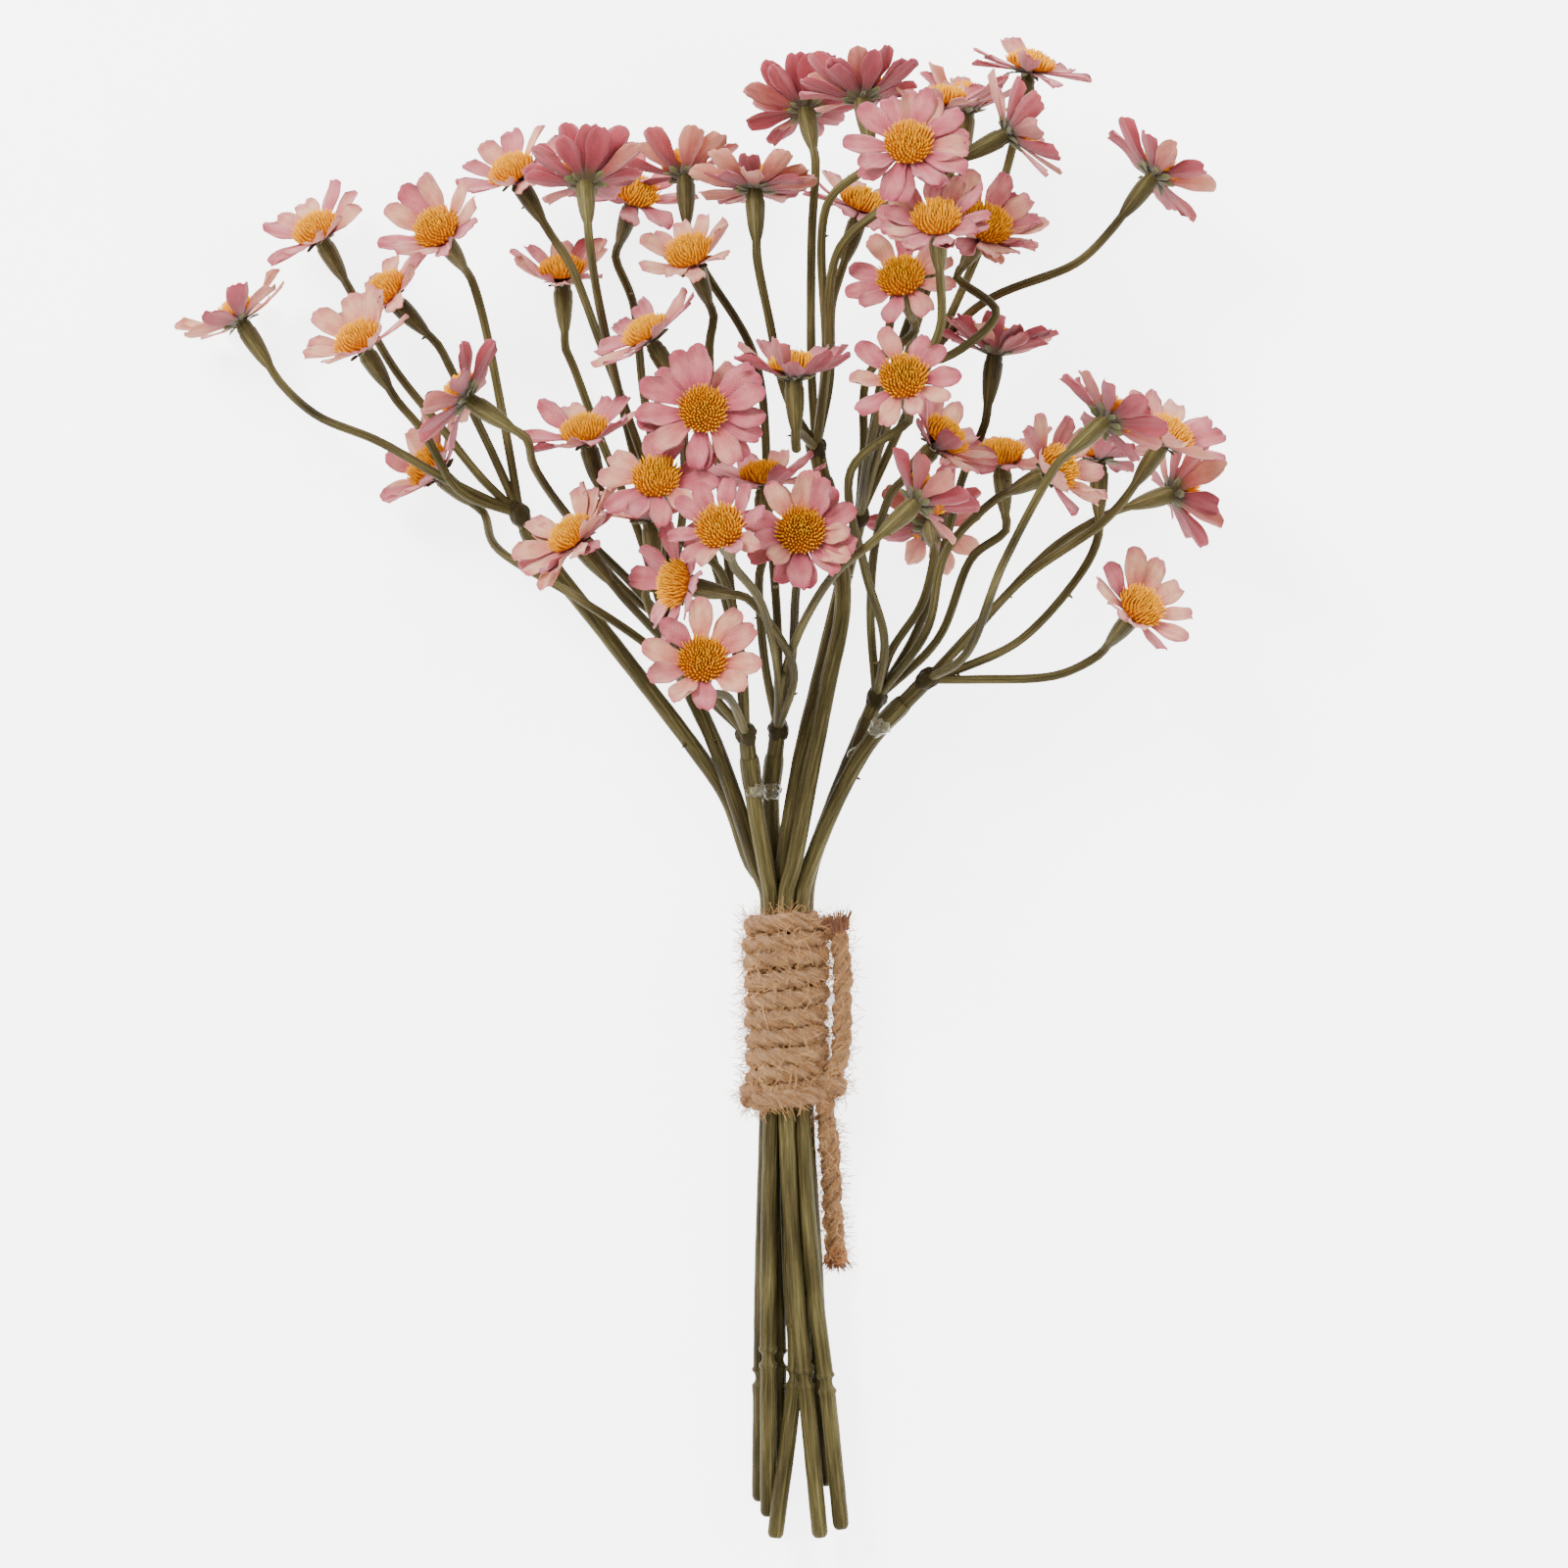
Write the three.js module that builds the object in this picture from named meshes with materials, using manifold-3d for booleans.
// A tied bunch of artificial daisies, lying on its back on a flat surface.
// Millimetres. +Y runs from the cut stems to the flowers, +X is to the right, +Z is up.
// Places in the lists below are measured from the middle of the twine wrap.

import * as THREE from 'three';
import { mergeVertices } from 'three/addons/utils/BufferGeometryUtils.js';
import Module from 'manifold-3d';

const wasm = await Module();
wasm.setup();

// ---- driving sizes -------------------------------------------------------

const GAP = 0.3; // air left between neighbouring pieces

// The places in the layout below are for a bunch of these overall sizes.
const LAID_OUT_LENGTH = 329;
const LAID_OUT_WIDTH = 232;
const BUNCH_LENGTH = 329; // cut ends to the highest flower
const BUNCH_WIDTH = 232; // flower tip to flower tip
const LENGTHENED = BUNCH_LENGTH / LAID_OUT_LENGTH;
const WIDENED = BUNCH_WIDTH / LAID_OUT_WIDTH;
const RING_STRETCH = Math.max(LENGTHENED, WIDENED); // rings spread out as the stems grow

const STEM_RADIUS = 1.85; // main stem
const LAID_OUT_STEM_RADIUS = 1.85; // the stem that the layout's places are for
const STEM_SIDES = 8;
const STEM_STEP = 13; // mm between rings along a main stem
const PINCH_DEPTH = 0.5; // waist where the mould halves meet
const PINCH_RADIUS = STEM_RADIUS - PINCH_DEPTH;
const PINCH_HALF = 1.4; // half the length of that waist
const CUT_ROUNDING = 1.2; // how much the cut end rounds off
const CUT_END_SHARE = 0.6; // the cut end's face as a share of the stem
const STRAIGHT = 4; // how far the stems run on straight outside the twine

const FORK_SWELL = 1.05; // knob from which the stalks branch
const FORK_RADIUS = STEM_RADIUS + FORK_SWELL;
const SLEEVE_WALL = 0.85; // collar where the spray plugs on to its stem
const SLEEVE_RADIUS = STEM_RADIUS + SLEEVE_WALL;
const SLEEVE_TAPER = 0.9; // the collar's lower end as a share of its upper end
const SLEEVE_LENGTH = 9;
const SLEEVE_SIDES = 8;
const BALL_SIDES = 8;
const BALL_RINGS = 6;
const SEAM_TURN = 37; // degrees, keeps a ball's seam off a tube's corners
const SLEEVE_TURN = 11; // degrees, keeps a sleeve's corners off a tube's corners

const STALK_RADIUS = 1.0;
const STALK_SIDES = 6;
const STALK_STEP = 13; // mm between rings along a stalk

const CUP_LENGTH = 11; // swollen green cup under each flower
const CUP_RADIUS = 2.2;
const CUP_MOUTH_END = 0.15; // share of the cup's length where its mouth ends
const CUP_BELLY_END = 0.65; // share of the cup's length where it starts to narrow
const CUP_EASING = 4; // how far the stalk runs on straight under the cup

const HEAD_RADIUS = 13; // tip of a petal
const NOTCH_RADIUS = 7.6; // how far the slits between petals reach in
const DISC_RADIUS = 5.2; // yellow middle
const DISC_RIM = 1.3; // height of the middle's edge
const DISC_TOP = 3.6; // height of the middle's dome
const PETAL_HALF = 0.45; // half the thickness of the petal layer at its rim
const HEAD_BACK = 1.5; // depth of the back of the flower
const HEAD_BACK_RADIUS = 2.1;
const CUP_STEP = 0.3; // how far the flower's back stands out over its cup
const CUP_TOP_RADIUS = HEAD_BACK_RADIUS - CUP_STEP;
const PETALS = 10;
const RIM_STEPS = 3; // rim corners per petal, the slit included
const RISES = [3.4, 1.6, 2.6, 4.2, 0.8]; // petal tips over the middle, one flower after another
const ROLL_STEP = 47; // degrees that each flower is rolled from the one before
const ROLL_WHOLE = 36; // degrees from petal to petal

const TWINE_RADIUS = 2.2;
const TWINE_SIDES = 10;
const WRAP_TURNS = 10;
const WRAP_LENGTH = 44;
const STEM_GAP = 0.2; // air between two stems inside the twine
const RING_STEMS = 7; // stems round the middle one
const bundleRadius = (stem) => (stem + STEM_GAP / 2) / Math.sin(Math.PI / RING_STEMS);
const BUNDLE_RADIUS = bundleRadius(STEM_RADIUS);
const BUNDLE_GROWTH = BUNDLE_RADIUS - bundleRadius(LAID_OUT_STEM_RADIUS);
const WRAP_SIDES = 20;
const WRAP_INNER = (BUNDLE_RADIUS + STEM_RADIUS + GAP) / Math.cos(Math.PI / WRAP_SIDES);
const WRAP_THICKNESS = 3.07; // one layer of twine, pressed flat on the stems
const WRAP_OUTER = WRAP_INNER + WRAP_THICKNESS;
const WRAP_GROOVE = 0.7; // depth of the groove between two turns
const TURN_CREST = [0.3, 0.7]; // where a turn's flat crest starts and ends
const KNOT_SWELL = 1.2; // how much thicker the knot is than the twine
const TWINE_STEP = 2.4; // rings along the twine, in twine radii
const CURVE_FRAMES = 60;
const LEAST_STEP = 0.05; // mm, closer rings are left out

// ---- colours -------------------------------------------------------------

const OLIVE = { color: 0x5c5a3c, roughness: 0.55, metalness: 0 };
const DUSTY_PINK = { color: 0xc98490, roughness: 0.85, metalness: 0 };
const JUTE = { color: 0xb98d5e, roughness: 0.95, metalness: 0 };

// ---- small helpers -------------------------------------------------------

const v = (point) => new THREE.Vector3(point[0], point[1], point[2]);

// A place of the layout, spread to the overall sizes. The stems leave the twine as laid
// out, and the width is shared out over the fan that starts beyond it.
const FAN_START = WRAP_LENGTH / 2 + 2 * STRAIGHT;
const FAN_LENGTH = 30;
const spread = (point) => {
  const fan = THREE.MathUtils.clamp((Math.abs(point[1]) - FAN_START) / FAN_LENGTH, 0, 1);
  const wider = THREE.MathUtils.lerp(1, WIDENED, fan);
  return new THREE.Vector3(point[0] * wider, point[1] * LENGTHENED, point[2]);
};

const radians = (degrees) => (degrees * Math.PI) / 180;

// The way a flower looks: turn is measured in the plane of the table from +X,
// lift is how far it looks up from the table.
function facing(turn, lift) {
  const flat = Math.cos(radians(lift));
  return new THREE.Vector3(
    flat * Math.cos(radians(turn)),
    flat * Math.sin(radians(turn)),
    Math.sin(radians(lift)),
  );
}

function closedMesh(points, triangles) {
  const geometry = new THREE.BufferGeometry();
  const flat = points.flatMap((p) => [p.x, p.y, p.z]);
  geometry.setAttribute('position', new THREE.Float32BufferAttribute(flat, 3));
  geometry.setIndex(triangles);
  return geometry;
}

// A closed tube along a curve. radiusAt gives its radius at a distance from the start.
function taperedTube(curve, distances, radiusAt, sides) {
  const length = curve.getLength();
  const frames = curve.computeFrenetFrames(CURVE_FRAMES, false);
  const points = [];
  const triangles = [];
  for (const distance of distances) {
    const share = Math.min(1, distance / length);
    const centre = curve.getPointAt(share);
    const frame = Math.round(share * CURVE_FRAMES);
    const radius = radiusAt(distance);
    for (let side = 0; side < sides; side += 1) {
      const angle = (side / sides) * 2 * Math.PI;
      const point = centre.clone();
      point.addScaledVector(frames.normals[frame], radius * Math.cos(angle));
      point.addScaledVector(frames.binormals[frame], radius * Math.sin(angle));
      points.push(point);
    }
  }
  const rings = distances.length;
  for (let ring = 0; ring < rings - 1; ring += 1) {
    for (let side = 0; side < sides; side += 1) {
      const a = ring * sides + side;
      const b = ring * sides + ((side + 1) % sides);
      triangles.push(a, b, b + sides, a, b + sides, a + sides);
    }
  }
  const start = points.push(curve.getPointAt(0)) - 1;
  const end = points.push(curve.getPointAt(1)) - 1;
  const last = (rings - 1) * sides;
  for (let side = 0; side < sides; side += 1) {
    const next = (side + 1) % sides;
    triangles.push(start, next, side);
    triangles.push(end, last + side, last + next);
  }
  return closedMesh(points, triangles);
}

// Even distances along a length, with chosen extra ones.
function evenDistances(length, step, extra = []) {
  const count = Math.max(2, Math.round(length / step));
  const even = [];
  for (let i = 0; i <= count; i += 1) {
    even.push((i / count) * length);
  }
  const clear = even.filter((d) => !extra.some((e) => Math.abs(e - d) < step / 3));
  return [...clear, 0, length, ...extra]
    .filter((d) => d >= 0 && d <= length)
    .sort((a, b) => a - b)
    .filter((d, i, all) => i === 0 || d - all[i - 1] > LEAST_STEP);
}

function smoothCurve(points) {
  return new THREE.CatmullRomCurve3(points, false, 'centripetal');
}

function toManifold(geometry) {
  const plain = geometry.clone();
  plain.deleteAttribute('normal');
  plain.deleteAttribute('uv');
  const merged = mergeVertices(plain, 1e-4);
  return new wasm.Manifold(
    new wasm.Mesh({
      numProp: 3,
      vertProperties: merged.attributes.position.array,
      triVerts: new Uint32Array(merged.index.array),
    }),
  );
}

function joined(geometries) {
  let solid = toManifold(geometries[0]);
  for (const geometry of geometries.slice(1)) {
    solid = solid.add(toManifold(geometry));
  }
  const mesh = solid.getMesh();
  const geometry = new THREE.BufferGeometry();
  geometry.setAttribute('position', new THREE.BufferAttribute(mesh.vertProperties, 3));
  geometry.setIndex(new THREE.BufferAttribute(mesh.triVerts, 1));
  geometry.computeVertexNormals();
  return geometry;
}

function ball(centre, radius) {
  const geometry = new THREE.SphereGeometry(radius, BALL_SIDES, BALL_RINGS);
  geometry.rotateX(radians(SEAM_TURN));
  geometry.translate(centre.x, centre.y, centre.z);
  return geometry;
}

const bunch = new THREE.Group();

function addPart(name, geometry, look) {
  const mesh = new THREE.Mesh(geometry, new THREE.MeshStandardMaterial(look));
  mesh.name = name;
  bunch.add(mesh);
  return mesh;
}

// ---- the layout ----------------------------------------------------------

// One spray: a main stem from its cut end to its fork, and the flowers of the fork.
// slot is the stem's angle in the wrap, seen from the cut ends; null is the middle one.
// low runs from below the wrap to the cut end, high from above the wrap to the fork.
// pinches are the waists, as distances from the cut end.
// A flower has a place, a turn and a lift, and via is its stalk's way to the fork;
// bow lifts the middle of that way.
const SPRAYS = [
  {
    name: 'far_left',
    slot: 244.3,
    low: [[-2.0, -60, -4.8], [-1.8, -104, -5.6]],
    high: [[-7.2, 31, -4.2], [-13, 46.5, -2.2], [-20, 57, 1], [-40, 83, 7], [-54, 101, 13.6]],
    fork: [-59, 109.5, 17],
    sleeve: [-55.5, 103, 14.6],
    pinches: [25],
    flowers: [
      { at: [-122, 153.5, 5], turn: 123, lift: -6, bow: 8,
        via: [[-104, 131.5], [-90, 125.5], [-75, 117]] },
      { at: [-104, 172, 10], turn: 119, lift: 32, bow: 6, via: [[-87, 142], [-77, 129.5], [-67, 117]] },
      { at: [-76, 170.5, 34], turn: 125, lift: 48, bow: 0, via: [[-67, 153], [-63, 133], [-60.5, 119]] },
      { at: [-88, 158, 17], turn: 135, lift: 28, bow: 3, via: [[-74, 141], [-66, 125]] },
      { at: [-93, 146, 37], turn: 122, lift: 32, bow: 0, via: [[-80, 127.5], [-72, 114.5]] },
    ],
  },
  {
    name: 'upper_left',
    slot: 192.9,
    low: [[-5.4, -60, -1.8], [-6.0, -110.9, -5.9]],
    high: [[-6.2, 30, 0.2], [-11, 45, 3.6], [-16.5, 60, 2.4], [-23, 74, 3]],
    fork: [-27, 86, 6],
    sleeve: [-24, 77, 3.8],
    pinches: [28],
    flowers: [
      { at: [-70, 134, 42], turn: 146, lift: -14, bow: -4, via: [[-55, 119], [-45, 105], [-35, 95]] },
      { at: [-60, 184, 22], turn: 122, lift: 30, bow: 10,
        via: [[-48, 165], [-41, 147], [-35, 131], [-29, 112]] },
      { at: [-44, 182, 40], turn: 95, lift: -35, bow: -11, via: [[-41, 155], [-36, 132], [-30, 106]] },
      { at: [-34, 181, 1], turn: 70, lift: 38, bow: 0, via: [[-34.5, 158], [-32, 137], [-27, 108]] },
      { at: [-50, 163, 5], turn: 92, lift: 20, bow: -2, via: [[-48, 144], [-42, 128], [-33, 106]] },
      { at: [-30, 147, 41], turn: 122, lift: 14, bow: -9, via: [[-22, 133], [-23, 110]] },
      { at: [-44, 126, 33], turn: 105, lift: 28, bow: -9, via: [[-46, 107], [-37, 94]] },
    ],
  },
  {
    name: 'front_left',
    slot: 141.4,
    low: [[-4.1, -60, 2.4], [-4.1, -113.9, -1.8]],
    high: [[-4.4, 30, 4.6], [-6.6, 42, 6.6], [-7.8, 50, 8]],
    fork: [-9, 61, 13],
    sleeve: [-7.9, 52, 8.6],
    pinches: [36],
    flowers: [
      { at: [-79, 120, 4], turn: 140, lift: 30, bow: 16, via: [[-65, 103], [-47, 91.5], [-30, 80]] },
      { at: [-28, 115, 57], turn: 95, lift: 55, bow: 0, via: [[-15, 97], [-10, 78]] },
      { at: [-30, 109, 30], turn: 95, lift: 8, bow: 0, via: [[-31, 93], [-25, 78]] },
      { at: [-46, 103, 46], turn: 130, lift: 25, bow: 0, via: [[-36, 91], [-22, 76]] },
      { at: [-18, 76, 64], turn: 95, lift: 68, bow: 0, via: [[-13, 69]] },
      { at: [-21, 165, 36], turn: 112, lift: 38, bow: 2, via: [[-17, 146], [-15, 120], [-11, 80]] },
      { at: [-18, 130, 58], turn: 90, lift: 76, bow: 0, via: [[-19, 112], [-12, 84]] },
    ],
  },
  {
    name: 'middle_left',
    slot: 295.7,
    low: [[3.2, -60, -4.8], [6.6, -104, -6.4]],
    high: [[-1.5, 31, -2.6], [-3.5, 45, -0.5]],
    fork: [-2, 62, 3],
    sleeve: [-3.2, 52, 0.8],
    pinches: [22],
    flowers: [
      { at: [-22.5, 186, 12], turn: 92, lift: -20, bow: 0,
        via: [[-18, 163], [-7, 144], [-4, 110], [-2, 84]] },
      { at: [-5, 116, 32], turn: 90, lift: 14, bow: 0, via: [[-6, 96], [-5, 78]] },
      { at: [-14, 104, 73], turn: 110, lift: 62, bow: 0, via: [[-6, 90], [-2, 75]] },
      { at: [3, 104, 58], turn: 90, lift: 76, bow: 0, via: [[2, 92], [1, 76]] },
      { at: [-23, 93, 50], turn: 170, lift: 32, bow: 6, via: [[-3, 84], [1.5, 75]] },
      { at: [29, 111.5, 52], turn: 42, lift: -22, bow: 4, via: [[10, 95], [1, 79]] },
    ],
  },
  {
    name: 'middle_top',
    slot: 90,
    low: [[1.9, -60, 3.8], [4.0, -82, 2.6], [7.5, -118.4, 0.6]],
    high: [[1.6, 32, 6.4], [5.0, 50, 8.4], [9, 71, 11], [12.5, 92, 14]],
    fork: [6.5, 124, 20],
    sleeve: [9, 113, 18],
    pinches: [36],
    flowers: [
      { at: [-7, 180, 40], turn: 92, lift: -18, bow: 0, via: [[-4, 152], [0, 135]] },
      { at: [4, 199, 24], turn: 100, lift: -38, bow: -2, via: [[5.5, 170], [5.5, 140]] },
      { at: [16, 200, 46], turn: 100, lift: -20, bow: 2, via: [[9, 176], [8.5, 143]] },
      { at: [16.5, 177, 18], turn: 72, lift: 20, bow: 0, via: [[10, 156], [9.5, 139]] },
      { at: [1.5, 139, 50], turn: 92, lift: 6, bow: 0, via: [[2, 127]] },
      { at: [26, 186, 68], turn: 92, lift: 62, bow: 6, via: [[11.5, 166], [9, 143]] },
    ],
  },
  {
    name: 'middle_back',
    slot: null,
    low: [[0.9, -60, -0.5], [1.9, -80, -1.2], [-2.6, -118.4, 2.0]],
    high: [[-0.6, 31, 1.6], [3.0, 55, 3.0], [8.5, 78, 5]],
    fork: [16, 109, 9],
    sleeve: [13, 99, 7.6],
    pinches: [36],
    flowers: [
      { at: [34, 198, 34], turn: 96, lift: 4, bow: -2, via: [[27, 170], [21, 140]] },
      { at: [40, 201, 10], turn: 86, lift: 4, bow: -4, via: [[35, 172], [24, 136]] },
      { at: [53, 206, 32], turn: 78, lift: 8, bow: -4, via: [[45, 174], [31, 142]] },
      { at: [49, 191, 50], turn: 28, lift: -6, bow: -6, via: [[33, 170], [24, 143]] },
      { at: [81, 184, 24], turn: 52, lift: -20, bow: 0, via: [[64, 164.5], [42, 155], [24, 133]] },
      { at: [32, 169.5, 70], turn: 95, lift: 44, bow: 6, via: [[33, 148], [23.5, 132]] },
      { at: [43, 170, 50], turn: 58, lift: 48, bow: 22,
        via: [[45.5, 152], [35, 142.5], [24, 140], [19, 127]] },
      { at: [25, 159, 46], turn: 108, lift: 52, bow: 0, via: [[18, 140], [17, 124]] },
    ],
  },
  {
    name: 'right_back',
    slot: 347.1,
    low: [[6.4, -60, -0.8], [8.4, -107.2, -2.4]],
    high: [[5.6, 32, -0.4], [11, 47, 1.6]],
    fork: [20, 69, 6],
    sleeve: [17, 60.5, 4.4],
    pinches: [26],
    flowers: [
      { at: [46, 146, 24], turn: 82, lift: -4, bow: -6, via: [[39, 118], [33, 95], [28, 82]] },
      { at: [25, 136, 70], turn: 100, lift: 62, bow: 8, via: [[14, 118], [17, 97], [21.5, 82]] },
      { at: [32, 108, 4], turn: 95, lift: -65, bow: 0, via: [[30, 90], [23, 79]] },
      { at: [33.5, 124.5, 44], turn: 46, lift: 25, bow: 0, via: [[19.5, 103], [18.5, 88]] },
      { at: [47, 121, 29.5], turn: 95, lift: 25, bow: 0, via: [[41, 100], [33.5, 82]] },
      { at: [58, 118, 44], turn: 25, lift: 38, bow: 4, via: [[35, 101], [31, 84]] },
    ],
  },
  {
    name: 'right_front',
    slot: 38.6,
    low: [[5.9, -60, 3.4], [8.9, -84, 2.4], [12.2, -116.5, 1.2]],
    high: [[4.9, 31, 3.7], [12, 48, 7], [19, 60, 11]],
    fork: [31, 73, 18],
    sleeve: [23, 65, 14],
    pinches: [33],
    flowers: [
      { at: [69, 128.5, 56], turn: 42, lift: -30, bow: 6, via: [[47, 98], [39, 78]] },
      { at: [83, 125.5, 34], turn: 56, lift: 25, bow: 2, via: [[69, 107], [52, 95], [39, 81]] },
      { at: [87, 115, 6], turn: 18, lift: -28, bow: 0, via: [[60, 103], [46, 89]] },
      { at: [69, 122, 16], turn: 90, lift: 0, bow: 0, via: [[66, 98], [52, 82], [40, 76]] },
      { at: [77, 88, 30], turn: 50, lift: 42, bow: 0, via: [[60, 74], [42, 73]] },
    ],
  },
];

const TWINE_RUN = [[10.6, 19.5, 3.6], [12.2, 12, 3.2], [12.4, 0, 2.6], [12.0, -10, 2.4], [9.4, -17.5, 3.0]];
const TWINE_LOOP = [[9.4, -18.5, 3.0], [5, -19.4, 8.0], [0, -20, 9.0], [-5, -20.6, 7.8], [-8.8, -20.4, 1.8]];
const TWINE_TAIL = [[8.6, -24.2, 2], [9.6, -33, -3], [10.2, -44, -6.6], [11.2, -57.6, -7.3]];
const KNOT = [9.6, -17.6, 3];

// ---- sprays --------------------------------------------------------------

// A stem's place across the bundle, at a distance from the middle stem.
function slotPlace(slot, reach) {
  if (slot === null) {
    return [0, 0, 0];
  }
  return [reach * Math.cos(radians(slot)), 0, reach * Math.sin(radians(slot))];
}

function mainStem(spray) {
  const [x, , z] = slotPlace(spray.slot, BUNDLE_RADIUS);
  const half = WRAP_LENGTH / 2;
  const below = [...spray.low].reverse().map(spread);
  const outward = v(slotPlace(spray.slot, BUNDLE_GROWTH));
  const inside = [-half - STRAIGHT, -half / 2, half / 2, half + STRAIGHT].map((y) => v([x, y, z]));
  const above = spray.high.map(spread);
  below.at(-1).add(outward);
  above[0].add(outward);
  const curve = smoothCurve([...below, ...inside, ...above, spread(spray.fork)]);
  const length = curve.getLength();
  const extra = [CUT_ROUNDING];
  for (const pinch of spray.pinches) {
    extra.push(pinch - PINCH_HALF, pinch, pinch + PINCH_HALF);
  }
  const radiusAt = (distance) => {
    if (distance < CUT_ROUNDING / 2) {
      return STEM_RADIUS * CUT_END_SHARE;
    }
    if (spray.pinches.some((pinch) => Math.abs(pinch - distance) < PINCH_HALF / 2)) {
      return PINCH_RADIUS;
    }
    return STEM_RADIUS;
  };
  return taperedTube(curve, evenDistances(length, STEM_STEP, extra), radiusAt, STEM_SIDES);
}

function sleeve(spray) {
  const centre = spread(spray.sleeve);
  const way = spread(spray.fork).sub(centre).normalize();
  const lower = SLEEVE_RADIUS * SLEEVE_TAPER;
  const geometry = new THREE.CylinderGeometry(SLEEVE_RADIUS, lower, SLEEVE_LENGTH, SLEEVE_SIDES);
  geometry.rotateY(radians(SLEEVE_TURN));
  const turnTo = new THREE.Quaternion().setFromUnitVectors(new THREE.Vector3(0, 1, 0), way);
  geometry.applyQuaternion(turnTo);
  geometry.translate(centre.x, centre.y, centre.z);
  return geometry;
}

function cupRadius(distance) {
  const share = distance / CUP_LENGTH;
  if (share >= 1) {
    return STALK_RADIUS;
  }
  if (share < CUP_MOUTH_END) {
    return CUP_TOP_RADIUS;
  }
  if (share < CUP_BELLY_END) {
    return CUP_RADIUS;
  }
  const narrowing = (share - CUP_BELLY_END) / (1 - CUP_BELLY_END);
  return THREE.MathUtils.lerp(CUP_RADIUS, STALK_RADIUS, narrowing);
}

// A stalk with its cup: from under the flower, straight for the cup, then to the fork.
function stalk(flower, fork) {
  const way = facing(flower.turn, flower.lift);
  const place = spread(flower.at);
  const top = place.clone().addScaledVector(way, -(HEAD_BACK + GAP));
  const neck = top.clone().addScaledVector(way, -CUP_LENGTH);
  const easing = top.clone().addScaledVector(way, -(CUP_LENGTH + CUP_EASING));
  const end = spread(fork);
  const flat = [easing, ...flower.via.map(([x, y]) => spread([x, y, 0])), end];
  const steps = flat.slice(1).map((p, i) => Math.hypot(p.x - flat[i].x, p.y - flat[i].y));
  const whole = steps.reduce((sum, step) => sum + step, 0);
  let walked = 0;
  const between = flower.via.map(([x, y], i) => {
    walked += steps[i];
    const share = walked / whole;
    const z = THREE.MathUtils.lerp(easing.z, end.z, share) + flower.bow * 4 * share * (1 - share);
    return spread([x, y, z]);
  });
  const half = top.clone().lerp(neck, 0.5);
  const curve = smoothCurve([top, half, neck, easing, ...between, end]);
  const belly = CUP_BELLY_END * CUP_LENGTH - LEAST_STEP;
  const extra = [CUP_MOUTH_END * CUP_LENGTH, belly, CUP_LENGTH];
  const distances = evenDistances(curve.getLength(), STALK_STEP * RING_STRETCH, extra);
  return taperedTube(curve, distances, cupRadius, STALK_SIDES);
}

// ---- flower heads --------------------------------------------------------

// One flower as a closed rosette: scalloped petal layer, domed middle, flat back.
// rise is how far the petal tips stand above the middle of the flower.
function rosette(rise, roll) {
  const points = [];
  const triangles = [];
  const count = PETALS * RIM_STEPS;
  const ring = (radiusAt, heightAt) => {
    const first = points.length;
    for (let i = 0; i < count; i += 1) {
      const angle = (i / count) * 2 * Math.PI + roll;
      const radius = radiusAt(i);
      points.push(new THREE.Vector3(radius * Math.cos(angle), radius * Math.sin(angle), heightAt(radius)));
    }
    return first;
  };
  const rim = (i) => (i % RIM_STEPS === 0 ? NOTCH_RADIUS : HEAD_RADIUS);
  const layer = (radius) => (rise * (radius - DISC_RADIUS)) / (HEAD_RADIUS - DISC_RADIUS);
  const top = points.push(new THREE.Vector3(0, 0, DISC_TOP)) - 1;
  const disc = ring(() => DISC_RADIUS, () => DISC_RIM);
  const upper = ring(rim, (radius) => layer(radius) + PETAL_HALF);
  const lower = ring(rim, (radius) => layer(radius) - PETAL_HALF);
  const back = ring(() => HEAD_BACK_RADIUS, () => -HEAD_BACK);
  const bottom = points.push(new THREE.Vector3(0, 0, -HEAD_BACK)) - 1;
  for (let i = 0; i < count; i += 1) {
    const j = (i + 1) % count;
    triangles.push(top, disc + i, disc + j);
    triangles.push(bottom, back + j, back + i);
    for (const [outer, inner] of [[upper, disc], [lower, upper], [back, lower]]) {
      triangles.push(inner + i, outer + i, outer + j, inner + i, outer + j, inner + j);
    }
  }
  return closedMesh(points, triangles);
}

function head(flower, number) {
  const rise = RISES[number % RISES.length];
  const geometry = rosette(rise, radians((number * ROLL_STEP) % ROLL_WHOLE));
  const place = spread(flower.at);
  const way = facing(flower.turn, flower.lift);
  const turnTo = new THREE.Quaternion().setFromUnitVectors(new THREE.Vector3(0, 0, 1), way);
  geometry.applyQuaternion(turnTo);
  geometry.translate(place.x, place.y, place.z);
  geometry.computeVertexNormals();
  return geometry;
}

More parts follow.
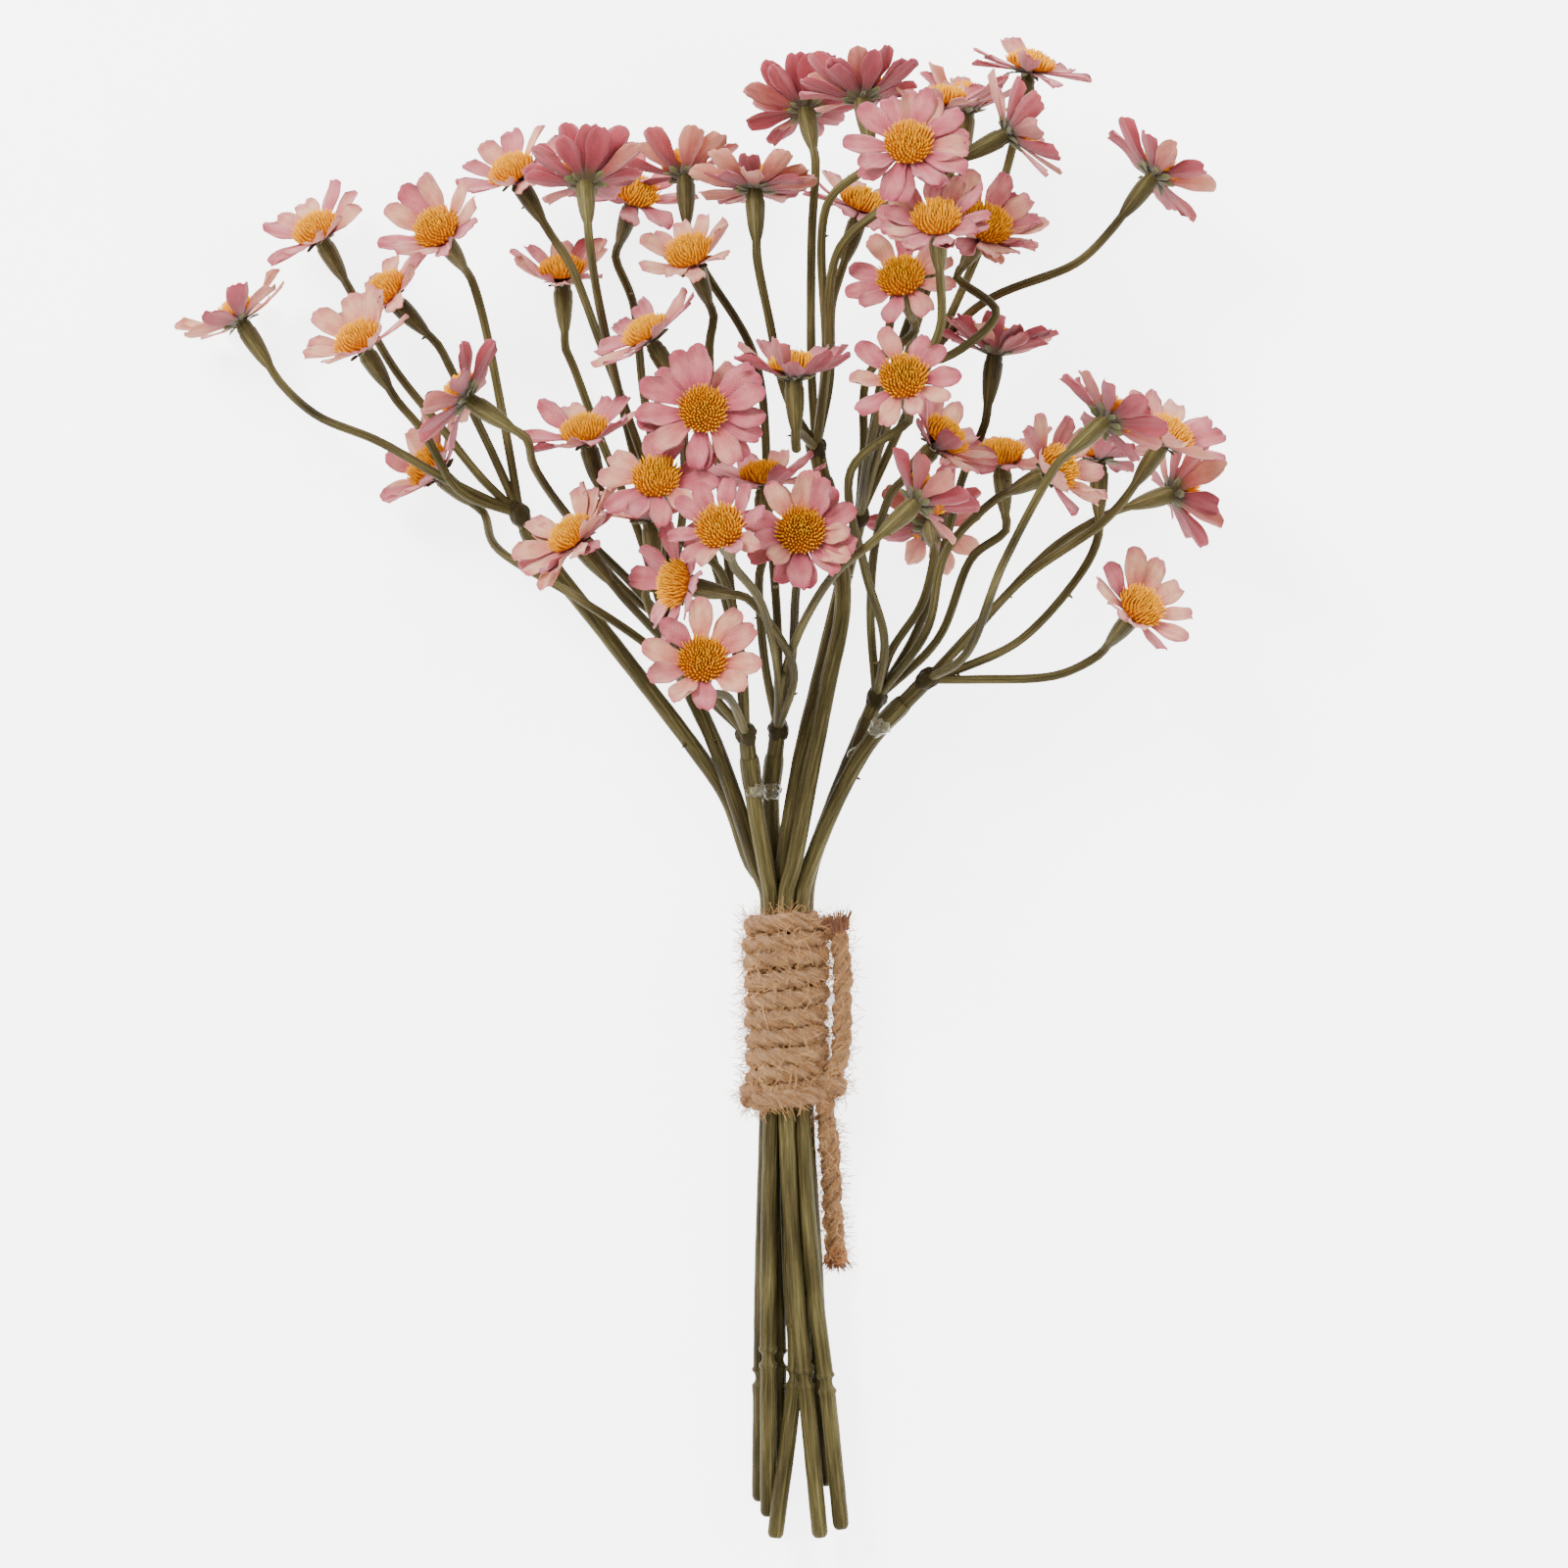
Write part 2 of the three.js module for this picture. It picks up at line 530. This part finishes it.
let number = 0;
for (const spray of SPRAYS) {
  const pieces = [mainStem(spray), sleeve(spray), ball(spread(spray.fork), FORK_RADIUS)];
  for (const flower of spray.flowers) {
    pieces.push(stalk(flower, spray.fork));
  }
  addPart(`spray_${spray.name}`, joined(pieces), OLIVE);
  for (const flower of spray.flowers) {
    number += 1;
    addPart(`flower_${String(number).padStart(2, '0')}`, head(flower, number), DUSTY_PINK);
  }
}

// ---- twine ---------------------------------------------------------------

// The wound part: a sleeve of ten rounded turns round the stems.
function wrap() {
  const turn = WRAP_LENGTH / WRAP_TURNS;
  const profile = [];
  profile.push(new THREE.Vector2(WRAP_INNER, -WRAP_LENGTH / 2));
  for (let i = 0; i < WRAP_TURNS; i += 1) {
    const start = -WRAP_LENGTH / 2 + i * turn;
    profile.push(new THREE.Vector2(WRAP_OUTER - WRAP_GROOVE, start));
    profile.push(new THREE.Vector2(WRAP_OUTER, start + turn * TURN_CREST[0]));
    profile.push(new THREE.Vector2(WRAP_OUTER, start + turn * TURN_CREST[1]));
  }
  profile.push(new THREE.Vector2(WRAP_OUTER - WRAP_GROOVE, WRAP_LENGTH / 2));
  profile.push(new THREE.Vector2(WRAP_INNER, WRAP_LENGTH / 2));
  profile.push(new THREE.Vector2(WRAP_INNER, -WRAP_LENGTH / 2));
  return new THREE.LatheGeometry(profile, WRAP_SIDES);
}

function twine(route) {
  const curve = smoothCurve(route.map(v));
  const distances = evenDistances(curve.getLength(), TWINE_STEP * TWINE_RADIUS);
  return taperedTube(curve, distances, () => TWINE_RADIUS, TWINE_SIDES);
}

const knot = ball(v(KNOT), TWINE_RADIUS + KNOT_SWELL);
const tie = [wrap(), twine(TWINE_RUN), twine(TWINE_LOOP), knot];
addPart('twine_wrap', joined(tie), JUTE);
addPart('twine_tail', twine(TWINE_TAIL), JUTE);

// ---- rest on the surface, with the origin under the middle ------------------

const box = new THREE.Box3().setFromObject(bunch);
const middle = box.getCenter(new THREE.Vector3());
for (const part of bunch.children) {
  part.position.set(-middle.x, -middle.y, -box.min.z);
}

export default bunch;
